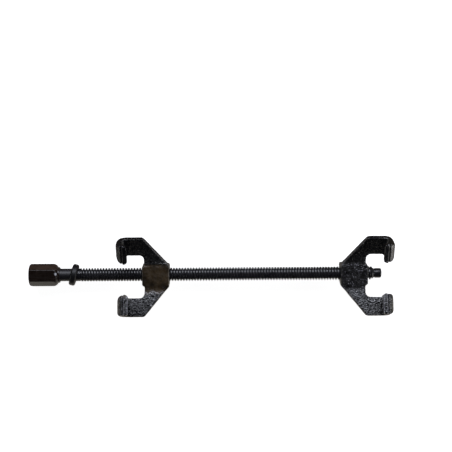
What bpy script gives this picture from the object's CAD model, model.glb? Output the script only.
import math

import bmesh
import bpy
import numpy as np
from mathutils import Matrix, Vector, noise


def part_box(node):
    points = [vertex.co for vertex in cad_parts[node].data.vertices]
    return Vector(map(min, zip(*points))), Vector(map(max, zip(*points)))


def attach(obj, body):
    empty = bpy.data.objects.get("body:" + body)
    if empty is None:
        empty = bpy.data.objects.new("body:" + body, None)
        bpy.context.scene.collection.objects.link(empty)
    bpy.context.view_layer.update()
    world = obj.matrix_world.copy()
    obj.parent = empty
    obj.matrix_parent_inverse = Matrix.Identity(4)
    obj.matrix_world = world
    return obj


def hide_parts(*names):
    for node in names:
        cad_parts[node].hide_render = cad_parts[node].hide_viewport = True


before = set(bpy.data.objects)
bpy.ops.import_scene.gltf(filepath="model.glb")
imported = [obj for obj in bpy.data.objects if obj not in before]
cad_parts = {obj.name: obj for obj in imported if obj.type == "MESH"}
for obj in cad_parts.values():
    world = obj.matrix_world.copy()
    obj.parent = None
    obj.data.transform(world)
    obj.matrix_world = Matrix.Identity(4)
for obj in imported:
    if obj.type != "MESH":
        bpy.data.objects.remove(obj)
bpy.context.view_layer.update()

# A claw-type coil spring compressor lies on a pale table with its screw along X.  Lengths are in
# metres, and MM turns the sizes below, which are in millimetres, into metres.
MM = 0.001

# The screw's axis and ends, from the frame
rod_low, rod_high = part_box("threaded_rod")
head_low, head_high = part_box("hex_drive_head")
washer_low, washer_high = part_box("thrust_washer")
AXIS_Z = (rod_low.z + rod_high.z) / 2
HEAD_END_X = head_low.x

# Thread, in millimetres, with distances along the screw from the head's end
PITCH = 3.0
MAJOR_R = (rod_high.z - rod_low.z) / 2 / MM
THREAD_DEPTH = 1.75
VALLEY_DULL_R = 5.6
CREST_HALF = 0.235 * PITCH
FLANK = THREAD_DEPTH * math.tan(math.radians(15))
THREAD_START = 53.8
THREAD_END = 365.8
CREST_ROUND = 0.25
CREST_ROWS = np.array([0.58, 0.68, 0.76, 1.10, 1.18, 1.27])
NECK_R = 6.7
NECK_START = (rod_low.x - HEAD_END_X) / MM
SCREW_END = (rod_high.x - HEAD_END_X) / MM
TIP_R = 5.15
TIP_ROUND = 1.6
UNDERCUT_R = 4.8
UNDERCUT_WIDTH = 1.2

# Hexagonal head
HEX_APOTHEM = 10.5
HEX_ROLL = 22.0
HEAD_LENGTH = (head_high.x - head_low.x) / MM
HEAD_END_R = 9.8
HEAD_END_ROUND = 3.5
HEAD_CORNER_R = 12.2
SHOULDER_START = 24.3
SHOULDER_END = 30.6
COLLAR_R = 8.3
HEAD_EDGE = 0.55
HEX_EDGE_Y = 7.4

# Thrust washer
WASHER_R = 11.5
WASHER_BORE_R = 7.6
WASHER_THICKNESS = 6.5
WASHER_ROUND = 2.0
WASHER_CHAMFER = 1.0
WASHER_LEAN = math.radians(14.5)

# Forged claws, in millimetres, lengthwise from the face that looks at the other claw
VOXEL = 0.5
ROUNDING_PASSES = 8
BLENDING_PASSES = 30
BORE_CLEAR_R = 7.9
BORE_FADE = 1.6
BORE_MOUTH_R = 7.4
BORE_MOUTH_FADE = 0.6
TAPPED_BORE_RELIEF = 0.24
WING_ANGLE = math.radians(19.5)
PLATE_BACK = 0.6
PLATE_THICKNESS = 5.5
WING_ROOT = 12.9
WING_SLOPE = 33.0 / 26.4
BOSS_FRONT = 11.0
WEB_START = 8.0
WEB_END = 18.0
WEB_LENGTH = 26.0
WEB_DEPTH = 3.0
LIP_EDGE = 42.6
LIP_CREASE = 47.6
LIP_TOP = 20.0
LIP_FILL = 0.50
CREASE_DEPTH = 0.95
CREASE_WIDTH = 0.55
HOOK_START = 42.0

# Skin of the forgings as noise: the size and height of each layer, in millimetres
SKIN_LAYERS = ((7.5, 0.12), (2.6, 0.13), (1.3, 0.09))
HOOK_SMOOTHING = 0.6

# Finish of the forgings, in millimetres: sizes of its marks, depths of its bumps, and places
# along Y or from the face that looks at the other claw
PATCH_SIZE = 9.0
SCALE_SIZE = 1.5
GRAIN_SIZE = 0.8
CLUSTER_SIZE = 4.0
FLECK_SIZE = 1.1
SCALE_BUMP = 1.15
GRAIN_BUMP = 0.12
EDGE_WANDER = 5.0
FLECKED_Y = (-38, -16)
LOWER_WING_Y = (-40, -16)
UPPER_WING_Y = (13, 44)
BOSS_SIDE_Y = (16, 36)
ROLL_START = 49
LINE_HALF = 0.35
CREASE_HALF = 0.5

# Finish of the oxidised pieces, in millimetres, with the chip's place from the head's end, along
# Y and above the axis
CLOUD_SIZE = 6.0
MARK_SIZE = 0.7
STREAK_SIZE = 1.2
CHIP = (29.0, 3.0, 10.1)
CHIP_R = 1.1

# Colours of the forgings' scale, and of steel where its black skin is worn or gone
SCALE_DARK = (0.002, 0.002, 0.0022)
SCALE_LIGHT = (0.007, 0.007, 0.009)
FLECK_GREY = (0.55, 0.55, 0.61)
WORN_EDGE = (0.075, 0.070, 0.066)
RUBBED_HOOK = (0.14, 0.14, 0.165)
RUBBED_LINE = (0.20, 0.20, 0.235)
BARE_STEEL = (0.62, 0.63, 0.66)


# Shapes

def mesh_piece(name, vertices, faces):
    """A new object from a mesh, with its normals outwards and smooth shading."""
    mesh = bpy.data.meshes.new(name)
    mesh.from_pydata(vertices, [], faces)
    work = bmesh.new()
    work.from_mesh(mesh)
    bmesh.ops.remove_doubles(work, verts=work.verts, dist=1e-7)
    bmesh.ops.recalc_face_normals(work, faces=work.faces)
    work.to_mesh(mesh)
    work.free()
    mesh.shade_smooth()
    piece = bpy.data.objects.new(name, mesh)
    bpy.context.scene.collection.objects.link(piece)
    return piece


def smooth_min(a, b, width):
    """The lower of two values, with the corner between them rounded over a width."""
    share = np.clip(0.5 + 0.5 * (b - a) / width, 0, 1)
    return b + (a - b) * share - width * share * (1 - share)


def smooth_step(value):
    value = np.clip(value, 0, 1)
    return value * value * (3 - 2 * value)


def ring_faces(first, rows, columns):
    """Quads that join rows of points round an axis, each row closed on itself."""
    faces = []
    for row in range(rows - 1):
        for column in range(columns):
            beside = (column + 1) % columns
            low, high = first + row * columns, first + (row + 1) * columns
            faces.append((low + column, low + beside, high + beside, high + column))
    return faces


def on_screw(distance, radius, angle):
    """Points from distance along the screw, radius and angle, measured from -Z towards +Y."""
    x = HEAD_END_X + np.asarray(distance) * MM
    y = np.asarray(radius) * np.sin(angle) * MM
    z = AXIS_Z - np.asarray(radius) * np.cos(angle) * MM
    return np.stack(np.broadcast_arrays(x, y, z), axis=-1)


def thread_profile(offset):
    """The thread's radius at an offset along the axis from a crest's middle."""
    flank = MAJOR_R - (np.abs(offset) - CREST_HALF) * THREAD_DEPTH / FLANK
    crest = smooth_min(flank, np.full_like(flank, MAJOR_R), CREST_ROUND)
    return -smooth_min(-crest, np.full_like(flank, THREAD_DEPTH - MAJOR_R), CREST_ROUND)


def screw():
    """Neck, rolled thread, undercut and tip, as one closed skin whose rows follow the helix."""
    columns = 56
    angle = np.arange(columns) * 2 * math.pi / columns
    offsets = np.concatenate([[-PITCH / 2], -CREST_ROWS[::-1], [0], CREST_ROWS])
    per_turn = len(offsets)
    first_turn = -2
    turns = round((THREAD_END - THREAD_START) / PITCH) + 4
    starts = (first_turn + np.arange(turns)) * PITCH
    base = (starts[:, None] + offsets[None, :]).ravel() + THREAD_START
    radius = np.tile(thread_profile(offsets), turns)
    along = base[:, None] + PITCH * angle[None, :] / (2 * math.pi)
    low, high = THREAD_START - PITCH / 2, THREAD_END + UNDERCUT_WIDTH
    along = np.clip(along, low, high)
    run_in = smooth_step((along - THREAD_START + PITCH / 3) / PITCH)
    thread = NECK_R + (radius[:, None] - NECK_R) * run_in
    runout = UNDERCUT_R + np.maximum(0, THREAD_END - along)
    thread = smooth_min(thread, runout, CREST_ROUND / 2)
    thread = np.where(along >= high, UNDERCUT_R, np.where(along <= low, NECK_R, thread))
    points = on_screw(along, thread, angle[None, :]).reshape(-1, 3)
    faces = []
    rows = len(base)
    for row in range(rows - 1):
        for column in range(columns):
            beside, step = (column + 1, 0) if column + 1 < columns else (0, per_turn)
            if row + 1 + step >= rows:
                continue
            here = row * columns
            there = (row + step) * columns
            faces.append((
                here + column, here + columns + column,
                there + columns + beside, there + beside,
            ))
    neck = [NECK_START + 0.3, NECK_START + 4, 20, 30, 34, 38, 42, 46, 49, low]
    neck_r = [NECK_R] * len(neck)
    curve = np.linspace(0, math.pi / 2, 6)
    tip = [high, high, THREAD_END + UNDERCUT_WIDTH + 0.15, SCREW_END - TIP_ROUND - 2]
    tip_r = [UNDERCUT_R, TIP_R - 0.15, TIP_R, TIP_R]
    tip += list(SCREW_END - TIP_ROUND + TIP_ROUND * np.sin(curve))
    tip_r += list(TIP_R - TIP_ROUND + TIP_ROUND * np.cos(curve))
    vertices = [points]
    first = len(points)
    for distances, radii in ((neck, neck_r), (tip, tip_r)):
        block = on_screw(np.array(distances)[:, None], np.array(radii)[:, None], angle[None, :])
        vertices.append(block.reshape(-1, 3))
        faces += ring_faces(first, len(distances), columns)
        if distances is neck:
            faces.append(tuple(range(first + columns - 1, first - 1, -1)))
        first += len(distances) * columns
    faces.append(tuple(range(first - columns, first)))
    return mesh_piece("screw_thread", np.concatenate(vertices).tolist(), faces)


def hexagon_radius(angle):
    """A hexagon's radius at an angle, with its corners a little rounded."""
    step = math.pi / 3
    roll = math.radians(HEX_ROLL)
    offset = (angle - roll) % step - step / 2
    nearer = HEX_APOTHEM / np.cos(offset)
    farther = HEX_APOTHEM / np.cos(step - np.abs(offset))
    return smooth_min(nearer, farther, HEAD_EDGE)


def head_envelope(along):
    """The head's turned outline: a rounded end, and a curved shoulder down to the collar."""
    end = np.clip(1 - along / HEAD_END_ROUND, 0, 1)
    radius = HEAD_END_R + (HEAD_CORNER_R - HEAD_END_R) * np.sqrt(1 - end ** 2)
    drop = SHOULDER_END - SHOULDER_START
    fall = HEAD_CORNER_R - COLLAR_R
    arc = (drop ** 2 + fall ** 2) / (2 * fall)
    into = np.clip(along - SHOULDER_START, 0, drop)
    return radius - (arc - np.sqrt(arc ** 2 - into ** 2))


def drive_head():
    """The hexagonal sleeve, closed round its blind bore."""
    columns = 300
    angle = np.arange(columns) * 2 * math.pi / columns
    end = HEAD_END_ROUND * (1 - np.cos(np.linspace(0, math.pi / 2, 14)))
    flats = np.linspace(HEAD_END_ROUND, SHOULDER_START - 2, 10)[1:]
    shoulder = np.linspace(SHOULDER_START - 2, SHOULDER_END, 34)[1:]
    collar = np.array([SHOULDER_END + 0.6, HEAD_LENGTH - 0.4])
    along = np.concatenate([end, flats, shoulder, collar])
    outer = smooth_min(hexagon_radius(angle)[None, :], head_envelope(along)[:, None], HEAD_EDGE)
    face = [0.0, 3.0, 6.0, 8.0, 9.2]
    bore_r = NECK_R + 0.04
    bore = [
        (HEAD_LENGTH - 0.12, COLLAR_R - 0.12),
        (HEAD_LENGTH, COLLAR_R - 0.4),
        (HEAD_LENGTH, bore_r + 0.4),
        (HEAD_LENGTH - 0.3, bore_r),
        (NECK_START, bore_r),
    ]
    rows = [on_screw(0.0, radius, angle) for radius in face[1:]]
    rows += [on_screw(distance, radius, angle) for distance, radius in zip(along, outer)]
    rows += [on_screw(distance, radius, angle) for distance, radius in bore]
    faces = ring_faces(0, len(rows), columns)
    faces.append(tuple(range(columns - 1, -1, -1)))
    last = (len(rows) - 1) * columns
    faces.append(tuple(range(last, last + columns)))
    return mesh_piece("hexagonal_drive", np.concatenate(rows).tolist(), faces)


def thrust_ring():
    """The thick ring with rounded rims, leaning over on the neck."""
    columns = 128
    half = WASHER_THICKNESS / 2
    quarter = np.linspace(0, math.pi / 2, 9)
    outline = [(WASHER_BORE_R, -half + WASHER_CHAMFER), (WASHER_BORE_R + WASHER_CHAMFER, -half)]
    for turn in quarter:
        radius = WASHER_R - WASHER_ROUND + WASHER_ROUND * math.sin(turn)
        outline.append((radius, -half + WASHER_ROUND - WASHER_ROUND * math.cos(turn)))
    outline += [(radius, -height) for radius, height in reversed(outline)]
    centre = (washer_low + washer_high) / 2
    tilt = Matrix.Translation(centre) @ Matrix.Rotation(-WASHER_LEAN, 4, "Z")
    vertices = []
    for radius, height in outline:
        for column in range(columns):
            turn = 2 * math.pi * column / columns
            point = Vector((height, radius * math.sin(turn), -radius * math.cos(turn))) * MM
            vertices.append(tuple(tilt @ point))
    faces = ring_faces(0, len(outline), columns)
    last = (len(outline) - 1) * columns
    for column in range(columns):
        beside = (column + 1) % columns
        faces.append((last + column, last + beside, beside, column))
    return mesh_piece("thrust_ring", vertices, faces)


def neighbour_mean(points, edges, counts):
    total = np.empty_like(points)
    for k in range(3):
        total[:, k] = np.bincount(edges[:, 0], points[edges[:, 1], k], len(points))
        total[:, k] += np.bincount(edges[:, 1], points[edges[:, 0], k], len(points))
    return total / counts[:, None]


def forging_scale(point, seed):
    """Height of the forging's rough skin at a point, in metres."""
    moved = point + Vector((seed, 0.37 * seed, 0.11 * seed))
    return sum(high * noise.noise(moved / (size * MM)) for size, high in SKIN_LAYERS) * MM


def claw_face(node, towards_hooks):
    """The X of the claw's face that looks at the other claw."""
    low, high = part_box(node)
    return high.x if towards_hooks < 0 else low.x


def webs(inner_face, towards_hooks):
    """Solids that fill the step between the boss's front and each wing's, as a forging has it."""
    vertices, faces = [], []
    along = np.linspace(0.4, WEB_LENGTH, 24)
    across = np.linspace(0, 1, 16)
    for side in (-1, 1):
        first = len(vertices)
        for distance in along:
            outline = (WING_ROOT + WING_SLOPE * distance) * math.cos(WING_ANGLE) - 0.5
            y = WEB_START + across * (min(WEB_END, outline) - WEB_START)
            share = smooth_step((y - WEB_START) / (WEB_END - WEB_START))
            wing = PLATE_THICKNESS - PLATE_BACK * math.cos(WING_ANGLE) + y * math.sin(WING_ANGLE)
            top = BOSS_FRONT * (1 - share) + wing / math.cos(WING_ANGLE) * share
            for depth in (0, WEB_DEPTH):
                for one_y, one_z in zip(y, top):
                    x = inner_face + towards_hooks * distance * MM
                    vertices.append((x, side * one_y * MM, AXIS_Z + (one_z - depth) * MM))
        width = len(across)
        for row in range(len(along) - 1):
            here = first + row * 2 * width
            there = here + 2 * width
            ring = list(range(width)) + list(range(2 * width - 1, width - 1, -1))
            for k in range(len(ring)):
                a, b = ring[k], ring[(k + 1) % len(ring)]
                faces.append((here + a, here + b, there + b, there + a))
        for end in (first, first + (len(along) - 1) * 2 * width):
            for k in range(width - 1):
                faces.append((end + k, end + k + 1, end + width + k + 1, end + width + k))
    return vertices, faces


def lip_relief(from_face, height):
    """Extra height, in millimetres, that flattens a hook's lip and ends it in a crease."""
    on_top = smooth_step((height - LIP_TOP + 5) / 3)
    flat = smooth_step((from_face - LIP_EDGE - 1.5) / 2)
    flat *= smooth_step((LIP_CREASE - from_face) / 0.7)
    crease = np.exp(-((from_face - LIP_CREASE - 0.5) / CREASE_WIDTH) ** 2)
    return on_top * (LIP_FILL * flat - CREASE_DEPTH * crease)


def remeshed_claw(node, inner_face, towards_hooks):
    """The CAD claw and its webs as one even mesh."""
    source = bpy.data.objects.new(node + ".cad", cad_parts[node].data.copy())
    bpy.context.scene.collection.objects.link(source)
    web = bpy.data.meshes.new("webs")
    vertices, faces = webs(inner_face, towards_hooks)
    web.from_pydata(vertices, [], faces)
    work = bmesh.new()
    work.from_mesh(web)
    bmesh.ops.recalc_face_normals(work, faces=work.faces)
    work.from_mesh(source.data)
    work.to_mesh(source.data)
    work.free()
    remesh = source.modifiers.new("remesh", "REMESH")
    remesh.mode = "VOXEL"
    remesh.voxel_size = VOXEL * MM
    graph = bpy.context.evaluated_depsgraph_get()
    mesh = bpy.data.meshes.new_from_object(source.evaluated_get(graph))
    bpy.data.objects.remove(source)
    mesh.materials.clear()
    return mesh


def vertex_values(mesh, name):
    """Each vertex's coordinates or normal, as rows of an array."""
    values = np.empty(len(mesh.vertices) * 3)
    mesh.vertices.foreach_get(name, values)
    return values.reshape(-1, 3)


def forged_claw(node, name, seed, towards_hooks, bore_relief=0.0):
    """The CAD claw as a forging: webbed, edges rounded, lips creased, and a rough skin outside.

    Its bore is opened by bore_relief millimetres, which keeps a remeshed thread off the screw's.
    """
    inner_face = claw_face(node, towards_hooks)
    mesh = remeshed_claw(node, inner_face, towards_hooks)
    points = vertex_values(mesh, "co")
    count = len(points)
    edges = np.empty(len(mesh.edges) * 2, np.int32)
    mesh.edges.foreach_get("vertices", edges)
    edges = edges.reshape(-1, 2)
    counts = np.bincount(edges.ravel(), minlength=count)
    from_axis = np.hypot(points[:, 1], points[:, 2] - AXIS_Z)
    free = smooth_step((from_axis - BORE_CLEAR_R * MM) / (BORE_FADE * MM))
    from_face = (points[:, 0] - inner_face) * towards_hooks / MM
    across = np.abs(points[:, 1]) / MM
    above = (points[:, 2] - AXIS_Z) / MM
    along_boss = smooth_step((from_face - 2) / 2) * smooth_step((WEB_LENGTH - 2 - from_face) / 2)
    at_web = smooth_step((across - WEB_START + 2) / 2) * smooth_step((WEB_END + 2 - across) / 2)
    blending = free * along_boss * at_web * smooth_step((above - 5) / 3)
    for count_down in range(ROUNDING_PASSES + BLENDING_PASSES, 0, -1):
        weight = free if count_down <= ROUNDING_PASSES else blending
        points += 0.5 * weight[:, None] * (neighbour_mean(points, edges, counts) - points)
    mesh.vertices.foreach_set("co", points.ravel())
    mesh.update()
    normals = vertex_values(mesh, "normal")
    height = np.array([forging_scale(Vector(point), seed) for point in points])
    from_plate = (above + PLATE_BACK) * math.cos(WING_ANGLE) - across * math.sin(WING_ANGLE)
    height *= 1 - HOOK_SMOOTHING * smooth_step((from_face - HOOK_START + 1) / 2)
    height += lip_relief(from_face, from_plate) * MM
    in_bore = 1 - smooth_step((from_axis / MM - BORE_MOUTH_R) / BORE_MOUTH_FADE)
    points += normals * (height * free - bore_relief * MM * in_bore)[:, None]
    mesh.vertices.foreach_set("co", points.ravel())
    mesh.shade_smooth()
    mesh.update()
    piece = bpy.data.objects.new(name, mesh)
    bpy.context.scene.collection.objects.link(piece)
    return piece


# Materials

class Shader:
    """A material's node tree, with short calls for the nodes that the finishes share."""

    def __init__(self, name, ior):
        self.material = bpy.data.materials.new(name)
        self.material.use_nodes = True
        self.nodes = self.material.node_tree.nodes
        self.surface = self.nodes["Principled BSDF"]
        self.surface.inputs["IOR"].default_value = ior
        self.place = self.nodes.new("ShaderNodeTexCoord").outputs["Object"]

    def link(self, source, target):
        self.material.node_tree.links.new(source, target)

    def noise(self, size, detail=3.0, roughness=0.5, stretch=None):
        """Noise with features about size millimetres across, or longer where it is stretched."""
        node = self.nodes.new("ShaderNodeTexNoise")
        node.inputs["Scale"].default_value = 1 / (size * MM)
        node.inputs["Detail"].default_value = detail
        node.inputs["Roughness"].default_value = roughness
        self.link(self.stretched(stretch) if stretch else self.place, node.inputs["Vector"])
        return node.outputs["Fac"]

    def stretched(self, scale):
        node = self.nodes.new("ShaderNodeMapping")
        node.inputs["Scale"].default_value = scale
        self.link(self.place, node.inputs["Vector"])
        return node.outputs["Vector"]

    def ramp(self, value, *stops):
        """Colours by value, from (value, colour) stops."""
        node = self.nodes.new("ShaderNodeValToRGB")
        band = node.color_ramp
        while len(band.elements) < len(stops):
            band.elements.new(0.5)
        for element, (at, colour) in zip(band.elements, stops):
            element.position = at
            element.color = (*colour, 1)
        self.link(value, node.inputs["Fac"])
        return node.outputs["Color"]

    def range(self, value, low, high, out_low, out_high):
        """A value's range from low to high, mapped to a new one and held inside it."""
        node = self.nodes.new("ShaderNodeMapRange")
        node.inputs["From Min"].default_value = low
        node.inputs["From Max"].default_value = high
        node.inputs["To Min"].default_value = out_low
        node.inputs["To Max"].default_value = out_high
        self.link(value, node.inputs["Value"])
        return node.outputs["Result"]

    def range_mm(self, value, low, high, out_low=0, out_high=1):
        """range, for a value in metres and ends in millimetres."""
        return self.range(value, low * MM, high * MM, out_low, out_high)

    def math(self, operation, a, b=None):
        node = self.nodes.new("ShaderNodeMath")
        node.operation = operation
        for socket, value in zip(node.inputs, (a, b)):
            if value is None:
                continue
            if isinstance(value, (int, float)):
                socket.default_value = value
            else:
                self.link(value, socket)
        return node.outputs["Value"]

    def times(self, a, b):
        return self.math("MULTIPLY", a, b)

    def plus(self, a, b):
        return self.math("ADD", a, b)

    def minus(self, a, b):
        return self.math("SUBTRACT", a, b)

    def larger(self, a, b):
        return self.math("MAXIMUM", a, b)

    def mix(self, factor, a, b):
        node = self.nodes.new("ShaderNodeMix")
        node.data_type = "RGBA"
        self.link(factor, node.inputs["Factor"])
        for socket, value in ((node.inputs["A"], a), (node.inputs["B"], b)):
            if isinstance(value, tuple):
                socket.default_value = (*value, 1)
            else:
                self.link(value, socket)
        return node.outputs["Result"]

    def axis(self, name):
        node = self.nodes.new("ShaderNodeSeparateXYZ")
        self.link(self.place, node.inputs["Vector"])
        return node.outputs[name]

    def distance(self, point):
        node = self.nodes.new("ShaderNodeVectorMath")
        node.operation = "DISTANCE"
        self.link(self.place, node.inputs[0])
        node.inputs[1].default_value = point
        return node.outputs["Value"]

    def edges(self, low, high):
        """Near 1 on edges that stick out, and 0 elsewhere."""
        node = self.nodes.new("ShaderNodeNewGeometry")
        return self.range(node.outputs["Pointiness"], low, high, 0, 1)

    def band(self, value, middle, half):
        """1 where a value in metres is within half of a middle, which are both in millimetres."""
        away = self.math("ABSOLUTE", self.minus(value, middle * MM))
        return self.range_mm(away, half + 0.15, half - 0.15)

    def bump(self, *layers):
        """Bumps from (height, depth in millimetres) layers."""
        normal = None
        for height, depth in layers:
            node = self.nodes.new("ShaderNodeBump")
            node.inputs["Distance"].default_value = depth * MM
            self.link(height, node.inputs["Height"])
            if normal:
                self.link(normal, node.inputs["Normal"])
            normal = node.outputs["Normal"]
        self.link(normal, self.surface.inputs["Normal"])

    def finish(self, colour, roughness):
        self.link(colour, self.surface.inputs["Base Color"])
        self.link(roughness, self.surface.inputs["Roughness"])
        return self.material


def scaled(colour, share):
    return tuple(share * channel for channel in colour)


def forging_colour(steel, y, scale, patches, stained, stain_colour, wandering_y, fleck_y):
    """Black scale with a stain over it, and grey flecks in clusters below fleck_y."""
    dark = steel.ramp(scale, (0.3, SCALE_DARK), (0.72, SCALE_LIGHT))
    stain = steel.ramp(patches, (0.34, scaled(stain_colour, 0.25)), (0.62, stain_colour))
    inside = steel.range_mm(wandering_y, fleck_y + 3, fleck_y - 3)
    outwards = steel.range_mm(y, *FLECKED_Y, 0.15, 1)
    clusters = steel.range(steel.noise(CLUSTER_SIZE, 2), 0.38, 0.62, 0.15, 1)
    flecks = steel.range(steel.noise(FLECK_SIZE, 0), 0.655, 0.74, 0, 1)
    flecked = steel.times(flecks, steel.times(clusters, steel.times(inside, outwards)))
    return steel.mix(flecked, steel.mix(stained, dark, stain), FLECK_GREY)


def forging_wear(steel, colour, y, above_plate, from_face, upper, hook, lower_lip):
    """Thin scale along the upper wing's slope and the hooks' edges, and beside the lower crease."""
    along_plate = steel.plus(
        steel.times(y, math.cos(WING_ANGLE)),
        steel.times(above_plate, math.sin(WING_ANGLE)),
    )
    inside_slope = steel.minus(steel.times(from_face, WING_SLOPE), along_plate)
    slope_edge = steel.range_mm(inside_slope, 0.9 - WING_ROOT, 0.5 - WING_ROOT)
    colour = steel.mix(steel.times(slope_edge, upper), colour, WORN_EDGE)
    colour = steel.mix(steel.times(steel.edges(0.53, 0.58), hook), colour, RUBBED_HOOK)
    lines = steel.larger(
        steel.band(from_face, LIP_EDGE + 0.6, LINE_HALF),
        steel.band(from_face, LIP_CREASE - 0.5, LINE_HALF),
    )
    return steel.mix(steel.times(lines, lower_lip), colour, RUBBED_LINE)


def forging_gloss(steel, y, from_face, upper, hook, lower_lip, wing_gloss, hook_gloss):
    """How strongly the scale mirrors, in patches, by its place on the wings and the hooks."""
    lower_wing = steel.range_mm(y, *LOWER_WING_Y, *wing_gloss)
    wing = steel.times(lower_wing, steel.range_mm(y, *UPPER_WING_Y, 1, 0.3))
    roll = steel.larger(steel.range_mm(from_face, ROLL_START, ROLL_START + 2, 1, 0.45), upper)
    crease = steel.times(steel.band(from_face, LIP_CREASE + 0.6, CREASE_HALF), lower_lip)
    roll = steel.times(roll, steel.range(crease, 0, 1, 1, 0.2))
    curl = steel.times(steel.range(upper, 0, 1, *hook_gloss), roll)
    gloss = steel.plus(wing, steel.times(steel.minus(curl, wing), hook))
    mottled = steel.range(steel.noise(CLUSTER_SIZE, 2), 0.38, 0.62, 0.35, 0.65)
    return steel.times(gloss, mottled)


def forged_finish(name, node, towards_hooks, stain_colour, stain_y, fleck_y, stain_bump,
                  wing_gloss, hook_gloss):
    """Black scale on a drop forging, with a stain, flecks and wear.

    The stain lies between the two places of stain_y and the flecks below fleck_y, in millimetres
    along Y.  The gloss goes from wing_gloss[0] at the lower wing's edge to wing_gloss[1] at the
    boss, and is hook_gloss[0] on the lower hook and hook_gloss[1] on the upper one.
    """
    steel = Shader(name, ior=1.9)
    patches = steel.noise(PATCH_SIZE, 4)
    scale = steel.noise(SCALE_SIZE, 1)
    y = steel.axis("Y")
    along = steel.minus(steel.axis("X"), claw_face(node, towards_hooks))
    from_face = steel.times(along, towards_hooks)
    above_plate = steel.minus(steel.axis("Z"), AXIS_Z - PLATE_BACK * MM)
    upper = steel.range_mm(y, -5, 5)
    hook = steel.range_mm(from_face, HOOK_START - 1, HOOK_START + 1)
    on_lip = steel.range_mm(above_plate, LIP_TOP, LIP_TOP + 2)
    lower_lip = steel.times(on_lip, steel.range(upper, 0, 1, 1, 0))

    wander = steel.range(patches, 0.3, 0.7, -EDGE_WANDER * MM, EDGE_WANDER * MM)
    wandering_y = steel.plus(y, wander)
    low_y, high_y = stain_y
    stained = steel.times(
        steel.range_mm(wandering_y, low_y - 1.5, low_y + 2),
        steel.range_mm(y, high_y + 0.8, high_y - 0.8),
    )
    colour = forging_colour(steel, y, scale, patches, stained, stain_colour, wandering_y, fleck_y)
    colour = forging_wear(steel, colour, y, above_plate, from_face, upper, hook, lower_lip)

    smoothed = steel.times(
        steel.range(stained, 0, 1, 1, stain_bump),
        steel.range(hook, 0, 1, 1, 0.4),
    )
    grains = steel.noise(GRAIN_SIZE, 1)
    steel.bump((steel.times(scale, smoothed), SCALE_BUMP), (grains, GRAIN_BUMP))
    near_boss = steel.range_mm(steel.math("ABSOLUTE", y), *BOSS_SIDE_Y, 0.15, 0)
    roughness = steel.plus(steel.range(patches, 0.35, 0.65, 0.13, 0.30), near_boss)
    gloss = forging_gloss(steel, y, from_face, upper, hook, lower_lip, wing_gloss, hook_gloss)
    steel.link(gloss, steel.surface.inputs["Specular IOR Level"])
    return steel.finish(colour, roughness)


def thin_on_edges(steel, colour, light):
    """A colour of oxide, paler on edges that stick out."""
    return steel.mix(steel.edges(0.52, 0.60), colour, tuple(2.2 * c + 0.012 for c in light))


def oxide_colour(steel, clouds, dark, light):
    """Cloudy black oxide, thinner on edges that stick out."""
    colour = steel.ramp(clouds, (0.32, dark), (0.70, light))
    return thin_on_edges(steel, colour, light)


def washer_finish():
    """Dull black oxide on a turned ring."""
    steel = Shader("washer_black_oxide", ior=1.5)
    clouds = steel.noise(CLOUD_SIZE, 5)
    colour = oxide_colour(steel, clouds, (0.004, 0.004, 0.005), (0.009, 0.009, 0.010))
    steel.bump((steel.noise(MARK_SIZE, 3, 0.6), 0.015))
    return steel.finish(colour, steel.range(clouds, 0.3, 0.7, 0.40, 0.50))


def thread_finish():
    """Black oxide on the rolled screw, dull on its neck and in the valleys of its thread."""
    steel = Shader("thread_black_oxide", ior=1.7)
    clouds = steel.noise(CLOUD_SIZE, 5)
    colour = oxide_colour(steel, clouds, (0.005, 0.005, 0.007), (0.012, 0.012, 0.016))
    steel.bump((steel.noise(MARK_SIZE, 3, 0.6), 0.010))
    y, z = steel.axis("Y"), steel.minus(steel.axis("Z"), AXIS_Z)
    radius = steel.math("SQRT", steel.plus(steel.times(y, y), steel.times(z, z)))
    outside_tip = steel.range_mm(radius, TIP_R + 0.02, TIP_R + 0.07, 0, 0.85)
    in_valley = steel.range_mm(radius, VALLEY_DULL_R, VALLEY_DULL_R + 0.9, 1, 0)
    neck_end = HEAD_END_X + THREAD_START * MM
    neck = steel.range(steel.axis("X"), neck_end - 3 * MM, neck_end, 0.46, 0)
    roughness = steel.range(clouds, 0.3, 0.7, 0.24, 0.34)
    roughness = steel.larger(roughness, steel.times(outside_tip, in_valley))
    return steel.finish(colour, steel.larger(roughness, neck))


def head_finish():
    """Oxide on drawn hexagon bar, with lengthwise streaks, a browner side and one bare chip."""
    steel = Shader("head_black_oxide", ior=1.5)
    dark, light = (0.014, 0.008, 0.0055), (0.026, 0.016, 0.012)
    clouds = steel.noise(CLOUD_SIZE, 5)
    black = steel.ramp(clouds, (0.32, scaled(dark, 0.6)), (0.70, scaled(light, 0.7)))
    brown = steel.ramp(clouds, (0.32, scaled(dark, 2.2)), (0.70, scaled(light, 2.4)))
    side = steel.range_mm(steel.axis("Y"), HEX_EDGE_Y - 1, HEX_EDGE_Y + 1)
    colour = thin_on_edges(steel, steel.mix(side, black, brown), light)
    along, across, above = CHIP
    from_chip = steel.distance((HEAD_END_X + along * MM, across * MM, AXIS_Z + above * MM))
    bare = steel.range_mm(from_chip, CHIP_R + 0.5, CHIP_R)
    colour = steel.mix(bare, colour, BARE_STEEL)
    steel.bump((steel.noise(MARK_SIZE, 3, 0.6, (0.12, 1, 1)), 0.006))
    streaks = steel.noise(STREAK_SIZE, 2, 0.6, (0.08, 1, 1))
    roughness = steel.range(clouds, 0.3, 0.7, 0.22, 0.30)
    roughness = steel.plus(roughness, steel.range(streaks, 0.35, 0.65, -0.08, 0.12))
    return steel.finish(colour, roughness)


# The object

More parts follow.
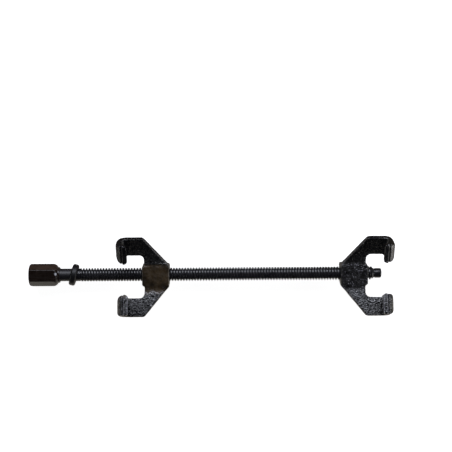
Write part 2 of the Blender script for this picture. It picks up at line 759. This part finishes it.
def place(piece, node, body, material):
    """Give a piece its material, the body that it rides on and the CAD node that it replaces."""
    piece.data.materials.clear()
    piece.data.materials.append(material)
    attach(piece, body)
    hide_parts(node)


oiled = forged_finish(
    "forged_steel_oiled", "sliding_claw", -1,
    stain_colour=(0.062, 0.037, 0.012), stain_y=(-18.0, 12.5), fleck_y=-15.0, stain_bump=0.25,
    wing_gloss=(0.45, 1.3), hook_gloss=(1.2, 0.65),
)
plain = forged_finish(
    "forged_steel_plain", "threaded_claw", 1,
    stain_colour=(0.011, 0.010, 0.010), stain_y=(-15.0, 16.0), fleck_y=12.0, stain_bump=0.5,
    wing_gloss=(1.0, 1.05), hook_gloss=(1.6, 1.5),
)
sliding = forged_claw("sliding_claw", "sliding_claw_forging", 0.31, -1)
threaded = forged_claw("threaded_claw", "threaded_claw_forging", 0.83, 1, TAPPED_BORE_RELIEF)
place(sliding, "sliding_claw", "sliding_claw", oiled)
place(threaded, "threaded_claw", "threaded_claw", plain)
place(screw(), "threaded_rod", "screw", thread_finish())
place(drive_head(), "hex_drive_head", "screw", head_finish())
place(thrust_ring(), "thrust_washer", "thrust_washer", washer_finish())


# Floor, light and camera

def floor():
    """A wide pale table that glows a little, and a dimmer one for what the steel reflects."""
    half = 4.0
    corners = [(-half, -half, 0), (half, -half, 0), (half, half, 0), (-half, half, 0)]
    mesh = bpy.data.meshes.new("table")
    mesh.from_pydata(corners, [], [(0, 1, 2, 3)])
    table = bpy.data.objects.new("table", mesh)
    bpy.context.scene.collection.objects.link(table)
    white = Shader("table_white", ior=1.45)
    tone = white.ramp(white.noise(400.0, 1), (0.3, (0.90, 0.90, 0.90)), (0.7, (0.92, 0.92, 0.92)))
    white.finish(tone, white.range(white.noise(3.0, 2), 0.3, 0.7, 0.7, 0.8))
    white.surface.inputs["Emission Color"].default_value = (1, 1, 1, 1)
    white.surface.inputs["Emission Strength"].default_value = 0.93
    reflected = white.nodes.new("ShaderNodeEmission")
    reach = white.range(white.axis("Y"), -0.03, 0.03, 0, 1)
    glow = white.ramp(reach, (0.0, (0.62, 0.58, 0.52)), (1.0, (0.06, 0.05, 0.04)))
    white.link(glow, reflected.inputs["Color"])
    seen = white.nodes.new("ShaderNodeLightPath").outputs["Is Camera Ray"]
    choose = white.nodes.new("ShaderNodeMixShader")
    white.link(seen, choose.inputs["Fac"])
    white.link(reflected.outputs["Emission"], choose.inputs[1])
    white.link(white.surface.outputs["BSDF"], choose.inputs[2])
    white.link(choose.outputs["Shader"], white.nodes["Material Output"].inputs["Surface"])
    mesh.materials.append(white.material)


def softbox(name, towards, distance, size, power, colour):
    """An area light at a direction and distance from the middle of the object, aimed at it."""
    data = bpy.data.lights.new(name, "AREA")
    data.shape = "RECTANGLE"
    data.size, data.size_y = size
    data.energy = power
    data.color = colour
    light = bpy.data.objects.new(name, data)
    away = Vector(towards).normalized()
    across = Vector((1, 0, 0))
    up = away.cross(across).normalized()
    across = up.cross(away)
    axes = Matrix((across, up, away)).transposed().to_4x4()
    light.matrix_world = Matrix.Translation(away * distance) @ axes
    bpy.context.scene.collection.objects.link(light)


def surroundings():
    """A pale room behind the object, and a dim one for what its steel reflects."""
    world = bpy.data.worlds.new("studio")
    world.use_nodes = True
    bpy.context.scene.world = world
    tree = world.node_tree
    room = tree.nodes["Background"]
    room.inputs["Color"].default_value = (0.9, 0.92, 1.0, 1)
    room.inputs["Strength"].default_value = 0.02
    backdrop = tree.nodes.new("ShaderNodeBackground")
    backdrop.inputs["Color"].default_value = (0.95, 0.95, 0.95, 1)
    seen = tree.nodes.new("ShaderNodeLightPath")
    choose = tree.nodes.new("ShaderNodeMixShader")
    tree.links.new(seen.outputs["Is Camera Ray"], choose.inputs["Fac"])
    tree.links.new(room.outputs["Background"], choose.inputs[1])
    tree.links.new(backdrop.outputs["Background"], choose.inputs[2])
    tree.links.new(choose.outputs["Shader"], tree.nodes["World Output"].inputs["Surface"])


def camera():
    """The view from nearly overhead, a little from the +Y side, with the tool low in it."""
    height = math.radians(12.5)
    distance = 1.15
    focal = 85.9
    sensor = 36.0
    aim_up = math.radians(2.54)
    roll = math.radians(0.37)
    side_step = 0.0231
    middle = 186.1
    target = Vector((HEAD_END_X + middle * MM, 0, AXIS_Z))
    forward = Vector((0, -math.sin(height), -math.cos(height)))
    up = Vector((0, math.cos(height), -math.sin(height)))
    right = Vector((1, 0, 0))
    position = target - forward * distance + right * side_step
    ahead = forward * math.cos(aim_up) + up * math.sin(aim_up)
    over = up * math.cos(aim_up) - forward * math.sin(aim_up)
    turned_right = right * math.cos(roll) - over * math.sin(roll)
    turned_over = over * math.cos(roll) + right * math.sin(roll)
    data = bpy.data.cameras.new("camera")
    data.lens = focal
    data.sensor_width = sensor
    view = bpy.data.objects.new("camera", data)
    axes = Matrix((turned_right, turned_over, -ahead)).transposed().to_4x4()
    view.matrix_world = Matrix.Translation(position) @ axes
    bpy.context.scene.collection.objects.link(view)
    bpy.context.scene.camera = view


def lights():
    """A long softbox over the +Y side, and a small one beyond each end of the tool."""
    key = math.radians(55)
    softbox(
        "key", towards=(0.1, math.sin(key), math.cos(key)), distance=1.1, size=(1.5, 0.45),
        power=10, colour=(0.87, 0.90, 1.0),
    )
    small = {"distance": 1.0, "size": (0.30, 0.5), "colour": (1.0, 1.0, 1.0)}
    softbox("right", towards=(1, -0.2, 0.28), power=1.6, **small)
    softbox("left", towards=(-1, -0.2, 0.35), power=0.6, **small)


floor()
surroundings()
lights()
camera()
bpy.context.scene.view_settings.view_transform = "Standard"
